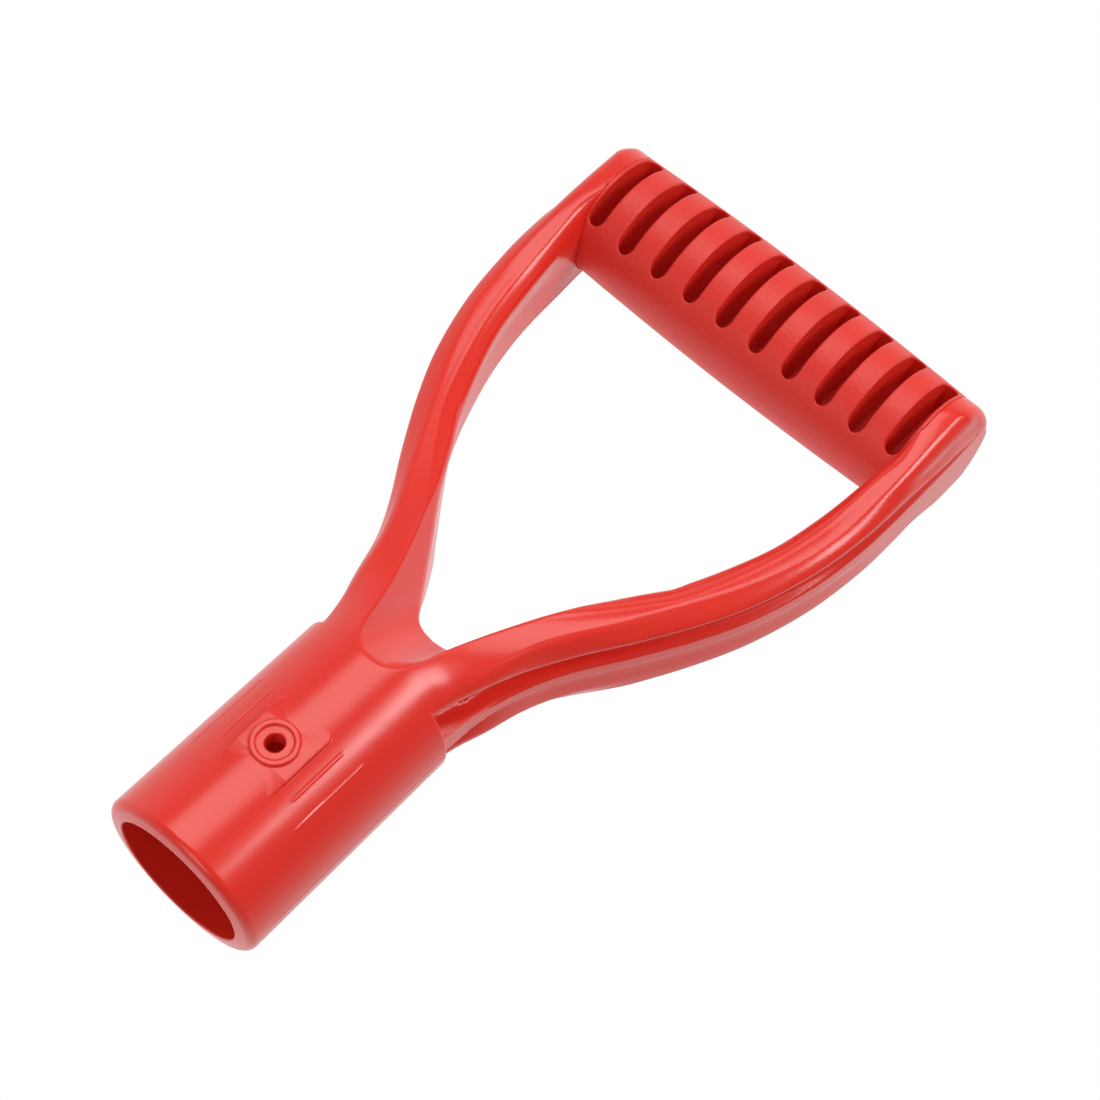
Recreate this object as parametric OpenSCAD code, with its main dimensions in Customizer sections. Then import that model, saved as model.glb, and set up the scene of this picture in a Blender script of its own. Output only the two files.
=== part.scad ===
// D-grip for a tool shaft: a socketed yoke frame with two swept arms and a ribbed hand grip.
// +Z runs along the socket axis, from the mouth to the grip. The arms spread along X.
// The screw pad faces -Y. The origin is the centre of the socket mouth.

/* [Socket] */
// Outside diameter at the mouth
socket_d = 46; // [42:0.5:50]
// Outside diameter at the collar edge
socket_top_d = 44.6; // [42:0.1:46]
// Height of the collar edge, where the arms begin
socket_h = 66.2; // [62:0.2:70]
// Diameter of the shaft bore
bore_d = 36; // [30:0.5:38]
// Depth of the shaft bore
bore_h = 60; // [40:1:62]
// Rounding of the outer lip at the mouth
lip_r = 2.2; // [1.5:0.1:4.5]

/* [Screw pad] */
// Width of the flat pad
pad_w = 16; // [12:0.5:20]
// Length of the flat pad along the socket
pad_h = 22; // [18:0.5:26]
// Height of the screw hole above the mouth
pad_z = 33.3; // [28:0.1:40]
// Distance of the pad face from the socket axis
pad_y = 22.9; // [22.9:0.1:24.5]
// Corner radius of the pad
pad_corner_r = 2.5; // [1:0.5:4]
// Outside diameter of the raised ring round the hole
ring_d = 11.5; // [10:0.1:13]
// Wall of the raised ring
ring_wall = 1.2; // [0.8:0.1:1.6]
// Height of the raised ring above the pad
ring_h = 1; // [0.4:0.1:1.5]
// Diameter of the screw hole
screw_d = 4.7; // [3.5:0.1:6]

/* [Arms] */
// Overall width across the two arms
width = 118.6; // [117:0.2:121]
// Half depth of the arms, front to back
arm_half_d = 13; // [12:0.5:14]
// Step that eases the outer corners of the arms
corner_step = 1.8; // [0.5:0.1:2.5]
// Width of the groove along the outer side of each arm
groove_w = 7.4; // [5:0.2:8]
// Distance of the groove in front of the mid-plane
groove_y = 1.8; // [1:0.2:3]
// Depth of the groove at the collar
groove_deep = 4.5; // [3:0.5:6]
// Depth of the groove at the grip
groove_shallow = 1; // [0.5:0.1:2]
// Slope of the scoop between the arms, measured from the horizontal
scoop_angle = 43.8; // [40:0.2:48]

/* [Grip] */
// Height of the grip axis above the mouth
grip_z = 207; // [200:1:215]
// Diameter of the grip at mid-length
grip_d = 35.4; // [32:0.2:37]
// Diameter of the grip at the arms
grip_end_d = 33.2; // [30:0.2:35]
// Length of the grip sleeve between the arm heads
grip_len = 103; // [101:0.5:104]
// Rounding of the outer corners of the arm heads
head_r = 4; // [3:0.5:8]
// Height of the flat core bar through the sleeve
core_h = 24; // [18:1:24]
// Thickness of the flat core bar
core_t = 4; // [4:1:12]

/* [Pockets] */
// Pockets on each face of the grip
pockets = 10; // [6:1:10]
// Spacing of the pockets
pocket_pitch = 10.7; // [10:0.05:10.75]
// Width of one pocket
pocket_w = 4.5; // [3:0.1:5.5]
// Length of one pocket across the grip
pocket_len = 27.2; // [24:0.2:29]
// How much shorter the first and last pockets are
end_pocket_cut = 2; // [0:0.2:4]

/* [Hidden] */
glossy_red = [0.85, 0.13, 0.12];
matte_red = [0.78, 0.14, 0.12];
steps = 6;                       // chords on each span of a curve
span = 200;                      // longer than any cut through the part
overlap = 0.5;                   // how far joined shapes run into each other
half_w = width / 2;
grip_r = grip_d / 2;
grip_end_r = grip_end_d / 2;
sleeve_x = grip_len / 2;
cone_z = 150;                    // height where the shoulder cone has passed the arms

// Side view of one arm's outer edge: [distance from the axis, height].
outer_edge = [[17.5, 56], [18.9, 68], [20.8, 78], [24.5, 90], [29.9, 101], [38, 114],
              [45.9, 128], [52, 141.5], [56.6, 157.5], [58.8, 173], [half_w, 187],
              [half_w - 0.1, 202], [half_w - 0.3, grip_z]];
// Hand opening at mid-depth, from its lowest point up one side.
inner_edge = [[0, 84.7], [5.4, 86.1], [8.2, 89], [11.6, 94.5], [17, 103.1], [23.2, 111.2],
              [31, 121.8], [36.9, 131], [42.4, 144.5], [46.8, 160], [49.1, 178], [49.4, grip_z]];
// Scoop between the arms, seen along its slope: [half width, distance along the normal].
scoop_edge = [[0, 60.9], [3.4, 61.2], [6.2, 62.8], [8, 65.6], [10.2, 70], [14.3, 76.6], [20.8, 86],
              [30.2, 97], [35, 101.5]];
// Half depth of the arms against height.
depth_edge = [[22.3, 58], [21.8, 67], [20.2, 76], [18.2, 88], [16.8, 100], [15.4, 112],
              [14.2, 124], [arm_half_d + 0.3, 138], [arm_half_d, 155], [arm_half_d, 174],
              [arm_half_d + 0.9, 190], [arm_half_d + 2.4, 200], [arm_half_d + 3.4, grip_z]];
// Round shoulder over the collar: radius against height.
shoulder_edge = [[socket_top_d / 2, 58], [socket_top_d / 2, 67], [24.4, 78], [30.5, 94],
                 [42, 112], [76, cone_z]];

// One point of a smooth curve through p1 and p2, with p0 and p3 as its neighbours.
function blend(p0, p1, p2, p3, t) =
    0.5 * (2 * p1 + (p2 - p0) * t + (2 * p0 - 5 * p1 + 4 * p2 - p3) * t * t
    + (3 * p1 - p0 - 3 * p2 + p3) * t * t * t);

// Smooth curve through every point of a list.
function curve(p) = let (last = len(p) - 1) concat(
    [for (i = [0:last - 1]) for (k = [0:steps - 1])
        blend(p[max(i - 1, 0)], p[i], p[i + 1], p[min(i + 2, last)], k / steps)],
    [p[last]]);

function mirrored(p) = [for (i = [len(p) - 1:-1:0]) [-p[i][0], p[i][1]]];

// Arc of a circle with its centre at c, from angle a to angle b.
function arc(c, r, a, b, n = 8) = [for (i = [0:n]) c + r * [cos(a + (b - a) * i / n), sin(a + (b - a) * i / n)]];

// Turns a front view drawn in XY into a solid centred on the mid-plane, depth d.
module front_view(d) {
    rotate([90, 0, 0])
    linear_extrude(height = d, center = true)
    children();
}

// Tapered socket wall with a rounded lip; the bore is cut later.
module socket_body() {
    lip_in = 0.8;
    rotate_extrude($fn = 96)
    polygon(concat(
        [[0, 0]],
        arc([socket_d / 2 - lip_r, lip_r], lip_r, -90, 0),
        [[socket_top_d / 2, socket_h - lip_in]],
        arc([socket_top_d / 2 - lip_in, socket_h - lip_in], lip_in, 0, 90, 4),
        [[0, socket_h]]));
}

// Flat pad with round corners and the raised ring round the screw hole.
module screw_pad() {
    root_y = bore_d / 2 + 1;
    translate([0, -root_y, pad_z])
    rotate([90, 0, 0]) {
        linear_extrude(height = pad_y - root_y) {
            square([pad_w - 2 * pad_corner_r, pad_h], center = true);
            square([pad_w, pad_h - 2 * pad_corner_r], center = true);
            for (x = [-1, 1], z = [-1, 1])
                translate([x * (pad_w / 2 - pad_corner_r), z * (pad_h / 2 - pad_corner_r)])
                circle(r = pad_corner_r, $fn = 32);
        }
        difference() {
            cylinder(d = ring_d, h = pad_y - root_y + ring_h, $fn = 48);
            translate([0, 0, pad_y - root_y])
            cylinder(d = ring_d - 2 * ring_wall, h = ring_h + overlap, $fn = 48);
        }
    }
}

// Front view of the arms, with their outer edges moved in by the given amount.
module arm_slab(depth, inset) {
    edge = [for (p = outer_edge) [p[0] - inset, p[1]]];
    front_view(depth)
    polygon(concat(curve(edge), mirrored(curve(edge))));
}

// Both arms and the web between them, from the socket to the grip axis.
module arms() {
    intersection() {
        union() {
            arm_slab(span, corner_step);
            arm_slab(2 * (arm_half_d - corner_step), 0);
        }

        rotate([90, 0, 90])
        linear_extrude(height = span, center = true)
        polygon(concat(curve(depth_edge), mirrored(curve(depth_edge))));

        union() {
            rotate_extrude($fn = 96)
            polygon(concat([[0, shoulder_edge[0][1]]], curve(shoulder_edge), [[0, cone_z]]));
            translate([-span / 2, -span / 2, cone_z - overlap])
            cube([span, span, span]);
        }
    }
}

// Open space for the hand, and the scoops that lead down from it on both faces.
module hand_opening() {
    front_view(span)
    polygon(concat(curve(inner_edge), mirrored(curve(inner_edge))));
    for (side = [0, 1])
        mirror([0, side, 0])
        rotate([scoop_angle, 0, 0])
        front_view(2 * span)
        polygon(concat(curve(scoop_edge), mirrored(curve(scoop_edge))));
}

// Groove along the outer side of one arm, from the collar edge to the grip.
module outer_groove() {
    last = len(outer_edge) - 1;
    floor_line = [for (i = [1:last]) let (p = outer_edge[i], t = (i - 1) / (last - 1))
        [p[0] - groove_deep - (groove_shallow - groove_deep) * t, max(p[1], socket_h)]];
    translate([0, -groove_y - groove_w / 2, 0])
    front_view(groove_w)
    polygon(concat(curve(floor_line), [[span / 2, grip_z], [span / 2, socket_h]]));
}

// Rounded end that carries the grip at the top of one arm.
module arm_head() {
    root_x = inner_edge[len(inner_edge) - 1][0];
    translate([0, 0, grip_z])
    rotate([0, 90, 0])
    rotate_extrude($fn = 72)
    polygon(concat(
        [[0, root_x], [grip_end_r, root_x]],
        arc([grip_end_r - head_r, half_w - head_r], head_r, 0, 90),
        [[0, half_w]]));
}

// Flat bar between the arm heads, inside the grip sleeve.
module core_bar() {
    translate([0, 0, grip_z])
    cube([grip_len + 2 * overlap, core_t, core_h], center = true);
}

module grip_barrel() {
    profile = [[grip_end_r, -sleeve_x], [grip_r, 0], [grip_end_r, sleeve_x]];
    rotate([0, 90, 0])
    rotate_extrude($fn = 72)
    polygon(concat([[0, -sleeve_x]], curve(profile), [[0, sleeve_x]]));
}

// One slot with round ends, cut from the front towards the core bar.
module pocket(len) {
    end_z = (len - pocket_w) / 2;
    translate([0, -core_t / 2, 0])
    rotate([90, 0, 0]) {
        for (z = [-end_z, end_z])
            translate([0, z, 0])
            cylinder(d = pocket_w, h = grip_d, $fn = 24);
        translate([-pocket_w / 2, -end_z, 0])
        cube([pocket_w, 2 * end_z, grip_d]);
    }
}

module hand_grip() {
    color(matte_red)
    translate([0, 0, grip_z])
    difference() {
        grip_barrel();
        cube([grip_len + 2, core_t, core_h], center = true);
        for (i = [0:pockets - 1], side = [0, 1])
            mirror([0, side, 0])
            translate([(i - (pockets - 1) / 2) * pocket_pitch, 0, 0])
            pocket(i == 0 || i == pockets - 1 ? pocket_len - end_pocket_cut : pocket_len);
    }
}

// Space that the grip sleeve fills, and the arm corners cut back so that its end pockets stay open.
module sleeve_seat() {
    corner_y = 11;
    room = 4;
    translate([0, 0, grip_z]) {
        grip_barrel();
        for (side = [-1, 1])
            intersection() {
                rotate([0, 90, 0])
                cylinder(r = grip_end_r + room, h = grip_len, center = true, $fn = 72);
                translate([0, side * (corner_y + grip_r / 2), 0])
                cube([span, grip_r, span], center = true);
            }
    }
}

module yoke_frame() {
    color(glossy_red)
    union() {
        difference() {
            union() {
                socket_body();
                screw_pad();
                difference() {
                    arms();
                    hand_opening();
                    for (side = [0, 1])
                        mirror([side, 0, 0])
                        outer_groove();
                }
                for (side = [0, 1])
                    mirror([side, 0, 0])
                    arm_head();
            }
            translate([0, 0, -overlap])
            cylinder(d = bore_d, h = bore_h + overlap, $fn = 96);
            translate([0, 0, pad_z])
            rotate([90, 0, 0])
            cylinder(d = screw_d, h = span, $fn = 48);
            sleeve_seat();
        }
        core_bar();
    }
}

yoke_frame();
hand_grip();
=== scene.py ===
"""Looks of a moulded red plastic D-grip: a glossy yoke frame and a finely textured hand grip."""

import bpy
import numpy as np
import openvdb
from mathutils import Matrix, Vector


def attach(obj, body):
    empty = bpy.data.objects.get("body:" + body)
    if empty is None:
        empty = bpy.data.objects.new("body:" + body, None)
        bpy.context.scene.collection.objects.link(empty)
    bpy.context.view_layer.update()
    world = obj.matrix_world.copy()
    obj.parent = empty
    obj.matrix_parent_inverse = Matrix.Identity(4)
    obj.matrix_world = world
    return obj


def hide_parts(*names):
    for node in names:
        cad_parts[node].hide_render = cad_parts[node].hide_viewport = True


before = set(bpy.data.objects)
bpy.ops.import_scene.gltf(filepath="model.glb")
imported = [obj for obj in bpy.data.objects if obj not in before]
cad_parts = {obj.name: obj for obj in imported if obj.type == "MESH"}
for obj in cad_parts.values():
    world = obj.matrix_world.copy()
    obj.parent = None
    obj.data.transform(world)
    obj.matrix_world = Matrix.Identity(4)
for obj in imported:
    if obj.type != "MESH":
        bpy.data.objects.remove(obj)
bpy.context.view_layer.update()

MM = 0.001

# ---- sizes of the part: millimetres, and radians for angles ----
# Socket: outside at the mouth and at the collar, height, bore, and the lip round the mouth.
SOCKET_R, SOCKET_TOP_R, SOCKET_H, COLLAR_ROUND = 23.0, 22.3, 66.2, 0.7
BORE_R, BORE_H, BORE_END_ROUND, BORE_EDGE_ROUND = 18.0, 60.0, 0.5, 0.35
LIP_R, LIP_SLOPE, LIP_EDGE_R = 1.9, np.radians(9), 18.4
LIP_TILT = 0.028                      # rise of the mouth for each millimetre towards the back
# Screw pad with its ring and hole.
PAD_HALF_W, PAD_HALF_H, PAD_CORNER_R = 8.0, 11.0, 2.5
PAD_Z, PAD_Y, PAD_CROWN_R = 33.3, 22.72, 68.0
PAD_FLAT, PAD_RAMP = 4.8, np.radians(8.5)
PAD_EDGE_ROUND, PAD_FILLET = 0.2, 0.12
RING_X, RING_OUT, RING_IN, RING_H, RING_ROOT_Y = -0.4, 5.85, 4.45, 0.5, 18.0
RING_EDGE_ROUND, RING_FILLET = 0.35, 0.2
SCREW_R, SCREW_EDGE_ROUND = 2.35, 0.2
# Grip: height of its axis, radius in the middle and at its ends, half length, core bar and pockets.
GRIP_Z, GRIP_R, GRIP_END_R, GRIP_HALF, GRIP_POWER = 207.0, 17.7, 16.6, 51.5, 1.8
CORE_HALF_T, CORE_HALF_H, CORE_HALF_W = 2.0, 12.0, 52.0
POCKETS, PITCH, POCKET_HALF_W, POCKET_HALF_H, END_SHORT = 10, 10.7, 2.25, 13.6, 1.0
POCKET_EDGE_ROUND, FIT_EDGE_ROUND = 0.6, 0.08
# Scoop between the arms: slope of its floor, edge, and the ridge where front and back meet.
SCOOP, SCOOP_EDGE_ROUND = np.radians(43.8), 0.55
RIDGE_ROUND, RIDGE_H, RIDGE_HALF_W = 0.1732, 0.1, 7.0
# Arms: lowest point, groove and bevel, dip and bead of the faces, heads round the grip.
ARM_START, GROOVE_FLOOR, BEVEL_LEAD = 50.0, 1.8, 0.6
DIP_SHARE, BEAD_AT, BEAD_HALF_W = 0.7, 2.2, 1.6
HEAD_SLOPE, HEAD_DROP, HEAD_ROUND = 0.6, 2.0, 0.3
# Spans in depth (y, or distance from the mid-plane for the inset) over which shapes change.
REAR_SPAN, PARTING_SPAN, REACH_SPAN = (-1, 2), (0.25, -0.25), (0, -9)
FRONT_ROUND_SPAN, INSET_SPAN = (3, -6), (4, 11)
# Mould marks and seam on the socket.
MARK_HALF_DEGREES, MARK_H, MARK_END = 1.2, 0.16, 2.0
SEAM_HALF_W, SEAM_DEPTH, SEAM_FOOT, SEAM_TOP, SEAM_IN = 0.4, 0.10, (6, 9), (66, 65), (20, 22)

# Outer edge of one arm at its flanges: distance from the axis, height.
OUTER = [(17.5, 56), (18.9, 68), (20.8, 78), (24.5, 90), (29.9, 101), (38, 114), (45.9, 128),
         (52, 141.5), (56.6, 157.5), (58.8, 173), (59.3, 187), (59.2, 202), (59.0, 214)]
# How far the middle rib stands out beyond the flanges: height, distance.
RIB_OUT = [(56, 2.4), (68, 1.6), (78, 0.8), (90, 0.4), (101, 0.1), (114, 0.0), (130, 0.0),
           (230, 0.0)]
# Hand opening at mid-depth: distance from the axis, height.
INNER = [(0, 85.3), (5.4, 86.6), (8.2, 89.5), (11.6, 94.9), (17, 103.1), (23.2, 111.2), (31, 121.8),
         (36.9, 131), (42.4, 144.5), (46.8, 160), (49.1, 178), (49.4, 207)]
# Edge of the scoop, seen along its slope: distance from the axis, height in that view.
SCOOP_EDGE = [(0, 61.5), (3.6, 61.8), (6.3, 62.9), (8.4, 65.5), (10.3, 69.8), (14.3, 76.6), (20.8, 86),
              (30.2, 97), (35, 101.5)]
# Fine raised lines on the socket: angle from the front in degrees, lowest and highest point.
MARKS = [(30.2, 26, 44), (43.9, 22, 46), (-30.2, 26, 44), (-47, 22, 46)]
# Half depth of the arms against height.
DEPTH = [(50, 22.47), (58, 22.39), (66, 22.3), (70, 21.9), (76, 20.8), (84, 19.1), (92, 17.8),
         (100, 16.8), (112, 15.4), (124, 14.2), (138, 13.3), (155, 13), (190, 13), (230, 13)]
# Half width of the oval that the arms' faces follow, against height.
OVAL = [(50, 22.47), (58, 22.39), (66, 22.3), (70, 23.1), (76, 26.2), (84, 34.5), (94, 48), (104, 66),
        (112, 84), (124, 118), (138, 148), (154, 166), (172, 174), (196, 178), (230, 180)]

# The lists below give a value that eases from one height to the next.
# Side of the arms: half width of the rib, width of the wall beside it, depth of the grooves, their end.
RIB_HALF = [(66, 3.9), (84, 1.7)]
RIB_WALL = [(140, 1.3), (185, 2.6)]
GROOVE = [(66, 4.0), (215, 1.0)]
GROOVE_END = [(207, 1), (220, 0)]
# Share of its depth that the rear groove loses.
REAR_FILL = [(70, 0), (92, 0.85), (160, 0.85), (186, 1)]
# Where the flange begins, from the mid-plane, and how its bevel leans in, in front and at the rear.
FLANGE = [(66, 14.6), (100, 9.9), (186, 9.9), (206, 5.5), (221, 3.0)]
BEVEL_W = [(195, 3.4), (213, 8.4)]
LEAN_FRONT = [(72, 0), (100, 1.3), (103, 1.3), (133, 3.0), (163, 1.3), (180, 1.3), (200, 1.0)]
LEAN_REAR = [(66, 0), (72, 2.6), (88, 2.6), (116, 0)]
# Faces of the arms: growth into the heads, fall towards the outer edge, dip and bead along the opening.
FLARE_FRONT = [(166, 0), (207, 4.4)]
FLARE_REAR = [(192, 0), (207, 4.4)]
CROWN = [(90, 0), (120, 0.5), (180, 0.5), (204, 2.0)]
DIP = [(88, 0), (118, 1.4), (190, 1.4), (212, 0)]
BEAD_H = [(76, 0), (96, 0.15), (185, 0.15), (205, 0)]
# Rounding of the outer edge of the arms' faces.
CREST_FRONT = [(80, 2.0), (108, 2.9)]
CREST_REAR = [(80, 2.0), (108, 1.4)]
# Rounding along the hand opening: everywhere, and more on the front edge.
OPENING_ROUND = [(192, 0.5), (206, 0.2)]
OPENING_FRONT_ROUND = [(100, 0), (128, 3.0), (192, 3.0), (206, 0)]
# How far the arms reach into the opening: step at the mid-plane, front half, inset beside the grip.
PARTING_STEP = [(100, 0), (128, 0.2)]
REACH = [(108, 1.3), (134, 2.1), (160, 1.3)]
REACH_SHARE = [(100, 0), (126, 1), (165, 1), (192, 0)]
INSET_FRONT = [(180, 0), (200, 1.6)]
INSET_REAR = [(180, 0), (200, 0.8)]


def curve(points, steps=16):
    """Smooth curve through every point of a list."""
    p = np.array(points, float)
    p = np.vstack([p[:1], p, p[-1:]])
    out = []
    t = np.linspace(0, 1, steps, endpoint=False)[:, None]
    for a, b, c, d in zip(p, p[1:], p[2:], p[3:]):
        out.append(0.5 * (2 * b + (c - a) * t + (2 * a - 5 * b + 4 * c - d) * t * t
                          + (3 * b - a - 3 * c + d) * t ** 3))
    return np.vstack(out + [p[-1:]])


def table_of(points, step=0.5):
    c = curve(points)
    lo, hi = points[0][0], points[-1][0]
    at = np.arange(lo, hi + step, step)
    return lo, step, np.interp(at, c[:, 0], c[:, 1])


def look_up(tab, s):
    """Value of a table at s."""
    lo, step, v = tab
    f = np.clip((s - lo) / step, 0, len(v) - 1.001)
    i = f.astype(np.int32)
    f = f - i
    return v[i] * (1 - f) + v[i + 1] * f


class Outline:
    """Signed distance to a closed outline, negative inside, kept on an even grid."""

    def __init__(self, points, lo, hi, step=0.5):
        self.lo, self.step = np.array(lo, float), step
        n = np.ceil((np.array(hi) - self.lo) / step).astype(int) + 1
        u = self.lo[0] + step * np.arange(n[0])
        v = self.lo[1] + step * np.arange(n[1])
        uu, vv = [g.ravel() for g in np.meshgrid(u, v, indexing="ij")]
        best = np.full(uu.shape, 1e9)
        inside = np.zeros(uu.shape, bool)
        p = np.array(points, float)
        for a, b in zip(p, np.roll(p, -1, 0)):
            e = b - a
            if e @ e < 1e-12:
                continue
            t = np.clip(((uu - a[0]) * e[0] + (vv - a[1]) * e[1]) / (e @ e), 0, 1)
            best = np.minimum(best, (uu - a[0] - t * e[0]) ** 2 + (vv - a[1] - t * e[1]) ** 2)
            crosses = (a[1] > vv) != (b[1] > vv)
            if abs(e[1]) > 1e-12:
                inside ^= crosses & (uu < a[0] + (vv - a[1]) * e[0] / e[1])
        self.d = (np.sqrt(best) * np.where(inside, -1, 1)).reshape(n)

    def __call__(self, u, v):
        n = self.d.shape
        fu = np.clip((u - self.lo[0]) / self.step, 1, n[0] - 2.001)
        fv = np.clip((v - self.lo[1]) / self.step, 1, n[1] - 2.001)
        iu, iv = fu.astype(np.int32), fv.astype(np.int32)
        fu, fv = fu - iu, fv - iv
        wu, wv = cubic(fu), cubic(fv)
        flat, row = self.d.ravel(), n[1]
        base = (iu - 1) * row + iv - 1
        total = 0
        for i in range(4):
            line = 0
            for k in range(4):
                line = line + wv[k] * flat[base + i * row + k]
            total = total + wu[i] * line
        return total


def cubic(f):
    """Weights of a smooth curve's four neighbours at fraction f."""
    return (-0.5 * f + f * f - 0.5 * f ** 3, 1 - 2.5 * f * f + 1.5 * f ** 3,
            0.5 * f + 2 * f * f - 1.5 * f ** 3, -0.5 * f * f + 0.5 * f ** 3)


def mirrored(c):
    """A right-hand curve joined to its mirror image."""
    return np.vstack([c, (c * [-1, 1])[::-1]])


def smooth(a, b, s):
    """0 at a and 1 at b, with a soft start and end."""
    t = np.clip((s - a) / (b - a), 0, 1)
    return t * t * (3 - 2 * t)


def cut(a, b, r):
    """Both a and b, with the edge between them rounded to radius r."""
    u, v = np.maximum(a + r, 0), np.maximum(b + r, 0)
    return np.minimum(np.maximum(a, b), -r) + np.sqrt(u * u + v * v)


def join(a, b, r):
    """Either a or b, with a fillet of radius r where they meet."""
    u, v = np.maximum(r - a, 0), np.maximum(r - b, 0)
    return np.maximum(np.minimum(a, b), r) - np.sqrt(u * u + v * v)


def bump(s, width):
    """1 at the middle, 0 beyond width, smooth between."""
    return smooth(width, 0, np.abs(s))


def eased(z, points):
    """Value that eases from each (height, value) to the next."""
    value = points[0][1]
    for (low, before), (high, after) in zip(points, points[1:]):
        if after != before:
            value = value + (after - before) * smooth(low, high, z)
    return value


def blend(front, back, rear):
    """The front value where rear is 0, and the back value where it is 1."""
    return front + (back - front) * rear


# Areas that the outlines' grids cover: lowest and highest corner.
ARM_GRID = ((-3, 44), (66, 226))
SCOOP_GRID = ((-3, 20), (66, 190))
outer_line = mirrored(curve([(17.2, 50)] + OUTER + [(58.6, 232)]))
inner_line = mirrored(curve(INNER + [(49.4, 232)]))
scoop_line = mirrored(curve(SCOOP_EDGE + [(36.2, 106), (36.5, 120), (36.5, 195)]))
outer_field = Outline(outer_line, *ARM_GRID)
inner_field = Outline(inner_line, *ARM_GRID)
scoop_field = Outline(scoop_line, *SCOOP_GRID)
depth_tab = table_of(DEPTH)
oval_tab = table_of(OVAL)
rib_tab = table_of(RIB_OUT)


def away(x):
    """Distance from the middle plane x = 0, rounded off where it would have a crease."""
    return np.sqrt(x * x + 1e-4)


def socket_wall(y, z, r):
    """Tapered socket. Its mouth leans a little and has a sloped, rounded lip."""
    taper = (SOCKET_TOP_R - SOCKET_R) * np.clip(z, 0, SOCKET_H) / SOCKET_H
    above_mouth = z - LIP_TILT * (y + SOCKET_R)
    lip = (r - LIP_EDGE_R) * np.sin(LIP_SLOPE) - above_mouth * np.cos(LIP_SLOPE)
    wall = np.maximum(cut(r - SOCKET_R - taper, lip, LIP_R), -above_mouth)
    return cut(wall, z - SOCKET_H, COLLAR_ROUND)


def arm_side(ay, z, rear, edge):
    """Outer side of the arms: a rib with a groove in front and a shallower one behind, and bevels."""
    rib = eased(z, RIB_HALF)
    flange = eased(z, FLANGE)
    wall = smooth(rib, rib + eased(z, RIB_WALL), ay)
    depth = eased(z, GROOVE) * eased(z, GROOVE_END) * (1 - rear * eased(z, REAR_FILL))
    groove = depth * wall * smooth(flange, rib + GROOVE_FLOOR, ay)
    lean = blend(eased(z, LEAN_FRONT), eased(z, LEAN_REAR), rear)
    bevel = lean * smooth(flange - BEVEL_LEAD, flange + eased(z, BEVEL_W), ay)
    return edge + groove + bevel - look_up(rib_tab, z) * (1 - wall)


def arm_face(x, y, z, rear, edge, inner):
    """Front and back of the arms. They grow out of the socket as an oval and end round the grip."""
    half = look_up(depth_tab, z) + blend(eased(z, FLARE_FRONT), eased(z, FLARE_REAR), rear)
    across = np.clip(inner / np.maximum(inner - edge, 1), 0, 1)
    oval = (np.hypot(x / look_up(oval_tab, z), y / half) - 1) * half
    crown = eased(z, CROWN) * across ** 2
    dip = (1 - rear) * eased(z, DIP) * np.clip(1 - across / DIP_SHARE, 0, 1) ** 2
    bead = eased(z, BEAD_H) * bump(inner - BEAD_AT, BEAD_HALF_W)
    below_head = HEAD_SLOPE * np.maximum(GRIP_Z - HEAD_DROP - z, 0)
    head = np.hypot(y, np.maximum(z - GRIP_Z, 0)) - GRIP_END_R - below_head
    return cut(oval + crown + dip - bead, head, HEAD_ROUND)


def arms(x, y, z):
    """Both arms with the hand opening between them."""
    ay = np.abs(y)
    rear = smooth(*REAR_SPAN, y)
    edge = outer_field(away(x), z)
    inner = inner_field(away(x), z)
    crest = blend(eased(z, CREST_FRONT), eased(z, CREST_REAR), rear)
    d = cut(arm_side(ay, z, rear, edge), arm_face(x, y, z, rear, edge, inner), crest)
    d = np.maximum(d, ARM_START - z)
    inset = blend(eased(z, INSET_FRONT), eased(z, INSET_REAR), rear)
    reach = (smooth(*PARTING_SPAN, y) * eased(z, PARTING_STEP)
             + smooth(*REACH_SPAN, y) * eased(z, REACH) * eased(z, REACH_SHARE)
             - smooth(*INSET_SPAN, ay) * inset)
    rounding = eased(z, OPENING_ROUND) + smooth(*FRONT_ROUND_SPAN, y) * eased(z, OPENING_FRONT_ROUND)
    return cut(d, -(inner + reach), rounding)


def scoops(x, y, z):
    """Hollows that fall from the bottom of the hand opening to the front and to the back."""
    ridge = RIDGE_H * smooth(RIDGE_HALF_W, 0, np.abs(y))
    along = np.hypot(y, RIDGE_ROUND) * np.sin(SCOOP) + z * np.cos(SCOOP) - ridge
    return scoop_field(away(x), along)


def screw_pad(x, y, z):
    """Pad with round corners that runs out into the socket at both ends."""
    up = np.abs(z - PAD_Z)
    px, pz = np.abs(x) - PAD_HALF_W + PAD_CORNER_R, up - PAD_HALF_H + PAD_CORNER_R
    outline = np.hypot(np.maximum(px, 0), np.maximum(pz, 0)) + np.minimum(np.maximum(px, pz), 0)
    top = -y - PAD_Y + x * x / (2 * PAD_CROWN_R)
    fall = np.maximum(up - PAD_FLAT, 0) * np.tan(PAD_RAMP)
    return np.maximum(cut(outline - PAD_CORNER_R, top + fall, PAD_EDGE_ROUND), y)


def screw_ring(y, from_screw):
    """Raised ring round the screw hole."""
    wall = np.maximum(from_screw - RING_OUT, RING_IN - from_screw)
    return np.maximum(cut(wall, -y - PAD_Y - RING_H, RING_EDGE_ROUND), y + RING_ROOT_Y)


def mould_marks(x, y, z):
    """Height of the fine raised lines on the socket, less the depth of the seam at its sides."""
    arc = np.degrees(np.arctan2(x, -y))
    lines = 0
    for at, low, high in MARKS:
        ends = smooth(low, low + MARK_END, z) * smooth(high, high - MARK_END, z)
        lines = lines + bump(arc - at, MARK_HALF_DEGREES) * ends
    ends = smooth(*SEAM_FOOT, z) * smooth(*SEAM_TOP, z)
    seam = bump(y, SEAM_HALF_W) * ends * smooth(*SEAM_IN, np.abs(x))
    return MARK_H * lines - SEAM_DEPTH * seam


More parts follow.
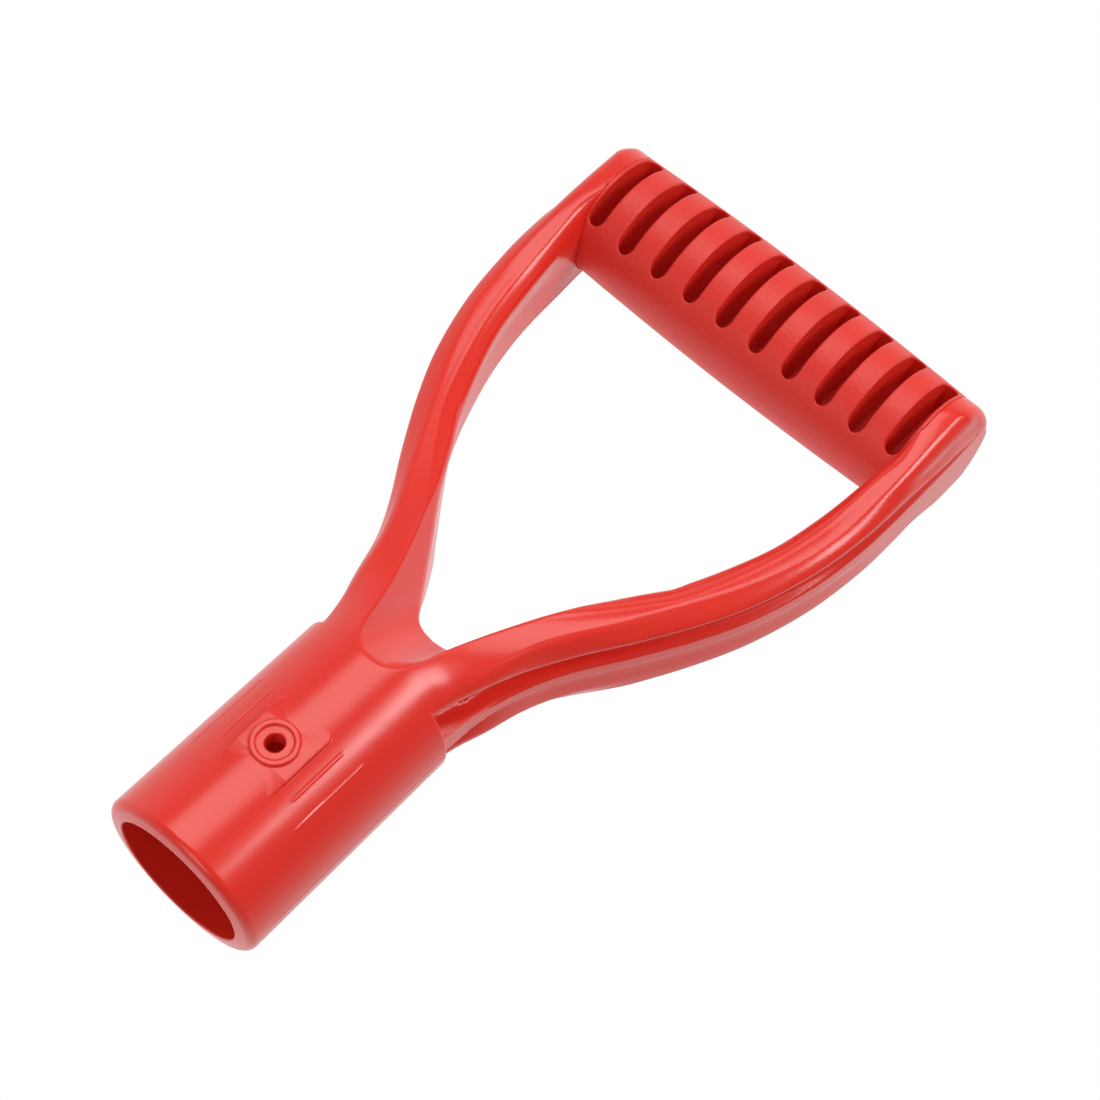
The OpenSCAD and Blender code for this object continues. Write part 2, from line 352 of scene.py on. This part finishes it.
def core_bar(y, z):
    """Flat bar inside the grip, without its ends."""
    return np.maximum(np.abs(y) - CORE_HALF_T, np.abs(z - GRIP_Z) - CORE_HALF_H)


def barrel(x, y, z):
    """Outside of the grip, thickest in the middle."""
    t = np.minimum(np.abs(x) / GRIP_HALF, 1.3)
    radius = GRIP_R - (GRIP_R - GRIP_END_R) * t ** GRIP_POWER
    return cut(np.hypot(y, z - GRIP_Z) - radius, np.abs(x) - GRIP_HALF, FIT_EDGE_ROUND)


def yoke(x, y, z):
    """Socket, arms, pad, ring and core bar, without the bores and the room for the grip."""
    r = np.hypot(x, y)
    from_screw = np.hypot(x - RING_X, z - PAD_Z)
    d = np.minimum(socket_wall(y, z, r), arms(x, y, z))
    d = cut(d, -scoops(x, y, z), SCOOP_EDGE_ROUND)
    d = join(d, screw_pad(x, y, z), PAD_FILLET)
    d = join(d, screw_ring(y, from_screw), RING_FILLET)
    d = d - mould_marks(x, y, z)
    d = cut(d, -cut(r - BORE_R, z - BORE_H, BORE_END_ROUND), BORE_EDGE_ROUND)
    d = cut(d, -np.maximum(from_screw - SCREW_R, y), SCREW_EDGE_ROUND)
    d = cut(d, -barrel(x, y, z), FIT_EDGE_ROUND)
    return np.minimum(d, np.maximum(np.abs(x) - CORE_HALF_W, core_bar(y, z)))


def grip(x, y, z):
    """Barrel with pockets down to the core bar on both faces, and a slot for the bar."""
    last = (POCKETS - 1) / 2
    k = np.clip(np.round(x / PITCH - 0.5) + 0.5, -last, last)
    end = POCKET_HALF_H - POCKET_HALF_W - END_SHORT * (np.abs(k) == last)
    up = np.maximum(np.abs(z - GRIP_Z) - end, 0)
    pocket = np.hypot(np.abs(x - k * PITCH), up) - POCKET_HALF_W
    pocket = np.maximum(pocket, CORE_HALF_T - np.abs(y))
    d = cut(barrel(x, y, z), -pocket, POCKET_EDGE_ROUND)
    return np.maximum(d, -core_bar(y, z))


def slope_of(f, p, h=0.04):
    """Direction and length of the steepest rise of f at the points p."""
    g = np.zeros_like(p)
    for k, s in enumerate([(1, -1, -1), (-1, -1, 1), (-1, 1, -1), (1, 1, 1)]):
        s = np.array(s, float)
        g += s * f(*(p + h * s).T)[:, None]
    return g / (4 * h)


def sampled(f, lo, hi, step, block=8, limit=3.0, batch=1500):
    """Grid of f in the box from lo to hi, worked out only in the blocks that its surface may cross."""
    blocks = np.ceil((hi - lo) / (step * block)).astype(int)
    at = np.stack(np.meshgrid(*[np.arange(n) for n in blocks], indexing="ij"), -1).reshape(-1, 3)
    middle = f(*(lo + (at * block + (block - 1) / 2) * step).T)
    vol = np.where(middle < 0, -limit, limit).astype(np.float32).reshape(blocks)
    for axis in range(3):
        vol = np.repeat(vol, block, axis)
    past_corner = step * block * 1.05 + 0.8
    crossed = at[np.abs(middle) < past_corner]
    inside = np.stack(np.meshgrid(*[np.arange(block)] * 3, indexing="ij"), -1).reshape(-1, 3)
    for s in range(0, len(crossed), batch):
        ijk = (crossed[s:s + batch, None, :] * block + inside[None]).reshape(-1, 3)
        vol[ijk[:, 0], ijk[:, 1], ijk[:, 2]] = np.clip(f(*(lo + ijk * step).T), -limit, limit)
    return vol


def thinned(ob, ratio):
    """Mesh of an object with only this share of its triangles."""
    thin = ob.modifiers.new("thin", "DECIMATE")
    thin.ratio = ratio
    me = bpy.data.meshes.new_from_object(ob.evaluated_get(bpy.context.evaluated_depsgraph_get()))
    ob.modifiers.clear()
    fine, ob.data = ob.data, me
    me.name = ob.name
    bpy.data.meshes.remove(fine)
    return me


def settle(me, f, step, rounds=3, least=0.05, normal_reach=0.12):
    """Moves a mesh onto the surface f = 0, turns it into metres and gives it the surface's normals."""
    p = np.empty(3 * len(me.vertices))
    me.vertices.foreach_get("co", p)
    p = p.reshape(-1, 3)
    for _ in range(rounds):
        g = slope_of(f, p)
        p -= np.clip(f(*p.T), -step, step)[:, None] * g / np.maximum((g * g).sum(1), least)[:, None]
    me.vertices.foreach_set("co", (p * MM).ravel())
    me.update()
    g = slope_of(f, p, normal_reach)
    g /= np.maximum(np.linalg.norm(g, axis=1), 1e-9)[:, None]
    me.polygons.foreach_set("use_smooth", [True] * len(me.polygons))
    me.normals_split_custom_set_from_vertices(g.tolist())


def mesh_of(name, f, lo, hi, step, triangles):
    """Surface of the solid f < 0 as an object with at most about this many triangles."""
    lo, hi = np.array(lo, float), np.array(hi, float)
    grid = openvdb.FloatGrid()
    grid.copyFromArray(sampled(f, lo, hi, step))
    grid.transform = openvdb.createLinearTransform(voxelSize=step)
    pts, quads = grid.convertToQuads(isovalue=0.0)
    me = bpy.data.meshes.new(name + "_fine")
    me.from_pydata((np.asarray(pts, float) + lo).tolist(), [], np.asarray(quads).tolist())
    me.update()
    ob = bpy.data.objects.new(name, me)
    bpy.context.scene.collection.objects.link(ob)
    if 2 * len(quads) > triangles:
        me = thinned(ob, triangles / (2 * len(quads)))
    settle(me, f, step)
    return ob


STEP = 0.4
yoke_body = mesh_of("yoke_body", yoke, (-62, -26, -2), (62, 26, 227), STEP, triangles=195000)
grip_sleeve = mesh_of("grip_sleeve", grip, (-54, -20, 187), (54, 20, 227), STEP, triangles=150000)


# ---- materials ----
def node(tree, kind, **values):
    """New shader node with these settings."""
    n = tree.nodes.new(kind)
    for k, v in values.items():
        setattr(n, k, v)
    return n


def empty_tree(owner):
    """Node tree of a material or world, with nothing in it."""
    owner.use_nodes = True
    owner.node_tree.nodes.clear()
    return owner.node_tree


def noise(t, place, scale, detail):
    """Noise at a scale, from 0 to 1."""
    n = node(t, "ShaderNodeTexNoise")
    n.inputs["Scale"].default_value = scale
    n.inputs["Detail"].default_value = detail
    t.links.new(place.outputs["Object"], n.inputs["Vector"])
    return n.outputs["Fac"]


def remap(t, value, low, high):
    """A value from 0 to 1, moved to the range from low to high."""
    n = node(t, "ShaderNodeMapRange")
    n.inputs["To Min"].default_value = low
    n.inputs["To Max"].default_value = high
    t.links.new(value, n.inputs["Value"])
    return n.outputs[0]


def plastic(name, colour, rough, grain, grain_scale, grain_strength):
    """Red plastic with slight mottling, uneven gloss and a fine surface grain."""
    m = bpy.data.materials.new(name)
    t = empty_tree(m)
    out = node(t, "ShaderNodeOutputMaterial")
    skin = node(t, "ShaderNodeBsdfPrincipled")
    skin.inputs["IOR"].default_value = 1.5
    t.links.new(skin.outputs[0], out.inputs[0])
    place = node(t, "ShaderNodeTexCoord")
    mottled = node(t, "ShaderNodeVectorMath", operation="SCALE")
    mottled.inputs[0].default_value = colour
    shade = remap(t, noise(t, place, scale=26, detail=3), low=0.94, high=1.05)
    t.links.new(shade, mottled.inputs["Scale"])
    t.links.new(mottled.outputs[0], skin.inputs["Base Color"])
    uneven = remap(t, noise(t, place, scale=90, detail=4), low=rough * 0.88, high=rough * 1.12)
    t.links.new(uneven, skin.inputs["Roughness"])
    relief = node(t, "ShaderNodeBump")
    relief.inputs["Strength"].default_value = grain_strength
    relief.inputs["Distance"].default_value = grain
    t.links.new(noise(t, place, scale=grain_scale, detail=2), relief.inputs["Height"])
    t.links.new(relief.outputs[0], skin.inputs["Normal"])
    return m


glossy = plastic("glossy_red", colour=(0.80, 0.029, 0.016), rough=0.23,
                 grain=0.0002, grain_scale=700, grain_strength=0.05)
matte = plastic("matte_red", colour=(0.77, 0.031, 0.018), rough=0.45,
                grain=0.0004, grain_scale=1300, grain_strength=0.35)
for piece, look, cad_node, slot in ((yoke_body, glossy, "yoke_frame", "glossy_red_plastic"),
                                    (grip_sleeve, matte, "hand_grip", "textured_red_plastic")):
    piece.data.materials.append(look)
    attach(piece, "root")
    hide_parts(cad_node)

# ---- camera: seen from below, right of the front, with the part laid across the frame ----
EYE = np.array([233.33, -674.94, -175.59])
ROLL = 0.8173
SHIFT_RIGHT, SHIFT_UP = 0.014128, 0.00768   # tangents of the angles from AIM to the picture's middle
LENS, SENSOR = 105.12, 36.0
NEAR, FAR = 0.01, 50                        # metres


def unit(v):
    """Vector of length 1 in this direction."""
    return np.array(v, float) / np.linalg.norm(v)


AIM = unit([-0.3034, 0.8775, 0.3713])
flat = unit(np.cross(AIM, [0, 0, 1]))
rise = np.cross(flat, AIM)
right = flat * np.cos(ROLL) + rise * np.sin(ROLL)
up = -flat * np.sin(ROLL) + rise * np.cos(ROLL)
view = unit(AIM + SHIFT_RIGHT * right + SHIFT_UP * up)
cam_right = unit(np.cross(view, up))
cam_up = np.cross(cam_right, view)
cam = bpy.data.objects.new("camera", bpy.data.cameras.new("camera"))
bpy.context.scene.collection.objects.link(cam)
cam.matrix_world = Matrix([[cam_right[i], cam_up[i], -view[i], EYE[i] * MM] for i in range(3)]
                          + [[0, 0, 0, 1]])
cam.data.lens, cam.data.sensor_width = LENS, SENSOR
cam.data.clip_start, cam.data.clip_end = NEAR, FAR
bpy.context.scene.camera = cam

# ---- light and surroundings ----
LIT_POINT = Vector((0, 0, 0.11))            # metres
FLOOR_SIZE, FLOOR_GAP, FLOOR_GREY = 8, 0.0002, 0.86
GLOW_LEFT = 0.28                            # how far to the left of AIM the surroundings are brightest
GLOW_RANGE = (("From Min", -0.5), ("From Max", 0.4), ("To Min", 0.22), ("To Max", 0.94))


def softbox(name, direction, distance, size, power):
    """Rectangular soft light that faces the part from a direction."""
    d = direction.normalized()
    light = bpy.data.lights.new(name, "AREA")
    light.shape, light.size, light.size_y = "RECTANGLE", size[0], size[1]
    light.energy = power
    ob = bpy.data.objects.new(name, light)
    bpy.context.scene.collection.objects.link(ob)
    ob.location = LIT_POINT + d * distance
    side = Vector(up).cross(d).normalized()
    ob.rotation_euler = Matrix([side, d.cross(side), d]).transposed().to_euler()


def seen(r, u, d):
    """Direction given by its share to the right, up and towards the camera."""
    return Vector(r * right + u * up - d * AIM)


softbox("soft_top", seen(0.06, 0.74, 0.67), distance=1.4, size=(1.2, 0.72), power=9)
softbox("soft_right", seen(0.78, 0.20, 0.60), distance=1.4, size=(0.46, 0.55), power=8)
softbox("fill", seen(-0.50, -0.35, 0.79), distance=1.3, size=(0.7, 0.7), power=3.2)


def studio_world():
    """Surroundings that are plain white to the camera and light the part most from behind it."""
    world = bpy.data.worlds.new("studio")
    bpy.context.scene.world = world
    t = empty_tree(world)
    out = node(t, "ShaderNodeOutputWorld")
    bg = node(t, "ShaderNodeBackground")
    bg.inputs["Color"].default_value = (1, 1, 1, 1)
    t.links.new(bg.outputs[0], out.inputs[0])
    place = node(t, "ShaderNodeTexCoord")
    behind = node(t, "ShaderNodeVectorMath", operation="DOT_PRODUCT")
    behind.inputs[1].default_value = Vector(AIM - GLOW_LEFT * right).normalized()
    t.links.new(place.outputs["Generated"], behind.inputs[0])
    glow = node(t, "ShaderNodeMapRange", interpolation_type="SMOOTHSTEP")
    for setting, value in GLOW_RANGE:
        glow.inputs[setting].default_value = value
    t.links.new(behind.outputs["Value"], glow.inputs["Value"])
    ray = node(t, "ShaderNodeLightPath")
    shown = node(t, "ShaderNodeMix")
    t.links.new(ray.outputs["Is Camera Ray"], shown.inputs["Factor"])
    t.links.new(glow.outputs[0], shown.inputs["A"])
    shown.inputs["B"].default_value = 1.0
    t.links.new(shown.outputs["Result"], bg.inputs["Strength"])


def floor_material():
    """Pale floor that a camera below it sees through."""
    m = bpy.data.materials.new("pale_floor")
    t = empty_tree(m)
    out = node(t, "ShaderNodeOutputMaterial")
    clear = node(t, "ShaderNodeBsdfTransparent")
    pale = node(t, "ShaderNodeBsdfDiffuse")
    pale.inputs["Color"].default_value = (FLOOR_GREY, FLOOR_GREY, FLOOR_GREY, 1)
    mix = node(t, "ShaderNodeMixShader")
    eye = node(t, "ShaderNodeVectorTransform", vector_type="POINT", convert_from="CAMERA",
               convert_to="WORLD")
    eye.inputs[0].default_value = (0, 0, 0)
    place = node(t, "ShaderNodeSeparateXYZ")
    above = node(t, "ShaderNodeMath", operation="GREATER_THAN")
    above.inputs[1].default_value = 0.0
    t.links.new(eye.outputs[0], place.inputs[0])
    t.links.new(place.outputs["Z"], above.inputs[0])
    t.links.new(above.outputs[0], mix.inputs[0])
    t.links.new(clear.outputs[0], mix.inputs[1])
    t.links.new(pale.outputs[0], mix.inputs[2])
    t.links.new(mix.outputs[0], out.inputs[0])
    return m


studio_world()
bpy.ops.mesh.primitive_plane_add(size=FLOOR_SIZE, location=(0, 0, -FLOOR_GAP))
floor = bpy.context.object
floor.name = "floor"
floor.data.materials.append(floor_material())

bpy.context.scene.view_settings.view_transform = "Standard"
